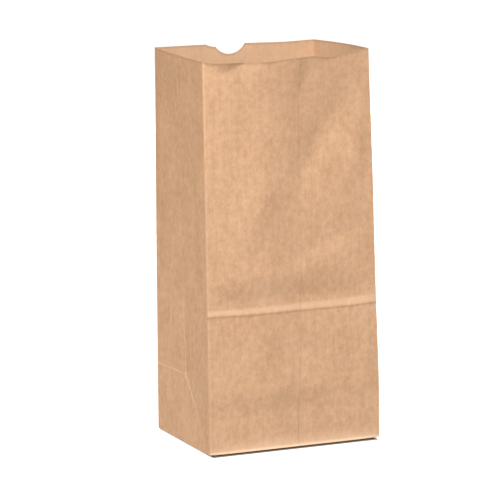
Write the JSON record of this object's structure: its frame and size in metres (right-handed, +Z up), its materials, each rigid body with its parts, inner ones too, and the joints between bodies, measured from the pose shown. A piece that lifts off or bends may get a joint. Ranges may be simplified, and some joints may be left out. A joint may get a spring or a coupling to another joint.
{
  "type": "paper lunch bag",
  "caption": "Open, self-standing paper lunch bag with pleated sides, a folded flat bottom and a thumb notch at the mouth.",
  "frame": {"origin": "middle of the folded bottom, on the surface that the bag stands on", "axes": "+Z up to the mouth, -Y out of the front panel with the glued seam, +X to the right seen from the front"},
  "size_m": [0.1374, 0.1074, 0.2786],
  "materials": {
    "kraft_paper": "matt natural brown kraft paper with a fine fibre mottle"
  },
  "bodies": {
    "root": {"paper_bag": "kraft_paper"}
  },
  "joints": []
}
